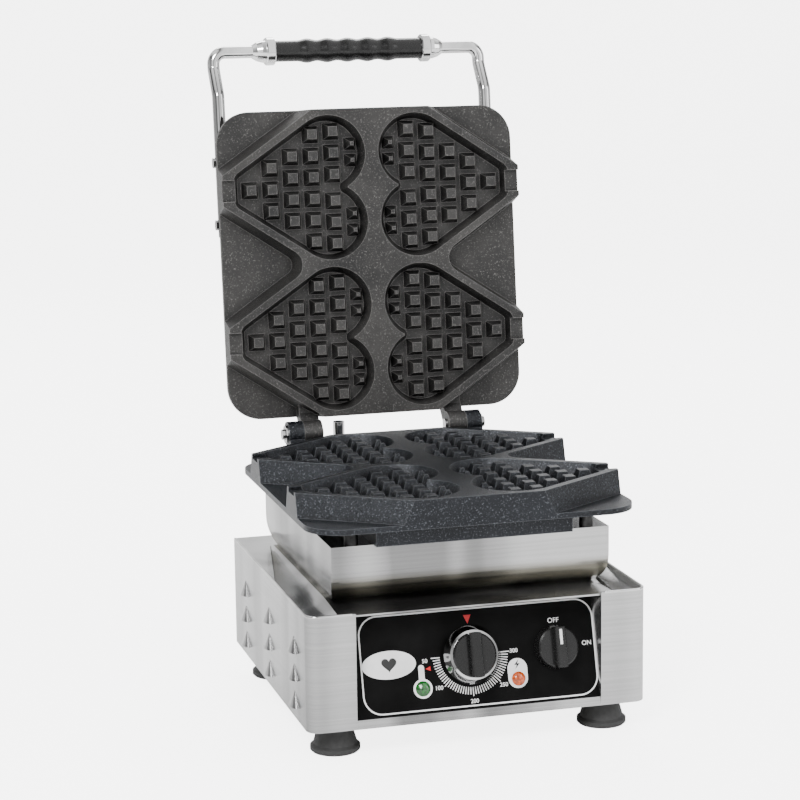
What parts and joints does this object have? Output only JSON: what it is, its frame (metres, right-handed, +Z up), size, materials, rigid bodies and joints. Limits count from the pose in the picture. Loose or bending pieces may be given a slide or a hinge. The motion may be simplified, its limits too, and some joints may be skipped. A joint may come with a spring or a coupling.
{
  "type": "waffle maker",
  "caption": "Countertop electric waffle baker with hinged heart-shaped iron plates, stainless base and lid, bar handle, rotary thermostat and switch.",
  "frame": {"origin": "centre of the open machine's plan at the underside of the feet", "axes": "+Z up, +Y from the control panel towards the hinge, +X to the right seen from the front"},
  "size_m": [0.316, 0.4462, 0.5947],
  "materials": {
    "stainless": "brushed",
    "upper_iron": "rough cast",
    "lower_iron": "rough cast",
    "chrome": "polished",
    "black_phenolic": "gloss",
    "rubber": "matt",
    "panel_black": "gloss",
    "green_lens": "clear",
    "amber_lens": "clear",
    "white_mark": "gloss",
    "dark_plastic": "matt",
    "wool": "fibrous",
    "steel": "satin"
  },
  "bodies": {
    "base": {"amber_lamp_body": "white_mark", "amber_lens": "amber_lens", "base_floor": "stainless", "base_screws": "steel", "cable_gland": "dark_plastic", "conduit_nut": "chrome", "control_panel": "panel_black", "foot_front_left": "rubber", "foot_front_right": "rubber", "foot_rear_left": "rubber", "foot_rear_right": "rubber", "foot_screws": "steel", "front_skirt": "stainless", "green_lamp_body": "white_mark", "green_lens": "green_lens", "hinge_pins": "chrome", "lead_conduit": "chrome", "left_side": "stainless", "left_skirt": "stainless", "lower_heater": "steel", "lower_insulation": "wool", "lower_plate": "lower_iron", "panel_lip": "stainless", "plate_housing": "stainless", "plate_spacers": "steel", "rear_deck": "stainless", "rear_panel": "stainless", "right_side": "stainless", "right_skirt": "stainless", "switch_body": "dark_plastic", "terminal_block": "dark_plastic", "thermostat_body": "dark_plastic"},
    "lid": {"upper_plate": "upper_iron", "lid_housing": "stainless", "upper_heater": "steel", "upper_insulation": "wool", "lid_spacers": "steel", "handle_frame": "chrome", "left_ferrule": "chrome", "right_ferrule": "chrome", "grip": "black_phenolic", "handle_clamps": "chrome", "handle_screws": "chrome", "lead_gland": "dark_plastic"},
    "thermostat": {"thermostat_knob": "black_phenolic", "thermostat_bezel": "chrome", "thermostat_shaft": "steel"},
    "switch": {"switch_knob": "black_phenolic", "switch_pointer": "white_mark", "switch_shaft": "steel"}
  },
  "joints": [
    {"name": "lid_hinge", "type": "hinge", "parent": "base", "child": "lid", "pos_m": [0, 0.09173, 0.2231], "axis": [1, 0, 0], "range_deg": [0, 96.34]},
    {"name": "thermostat_turn", "type": "hinge", "parent": "base", "child": "thermostat", "pos_m": [-0.0045, -0.1977, 0.07797], "axis": [0, 0.9613, -0.2756], "range_deg": [0, 270]},
    {"name": "switch_turn", "type": "hinge", "parent": "base", "child": "switch", "pos_m": [0.073, -0.1977, 0.07797], "axis": [0, 0.9613, -0.2756], "range_deg": [0, 90]}
  ]
}
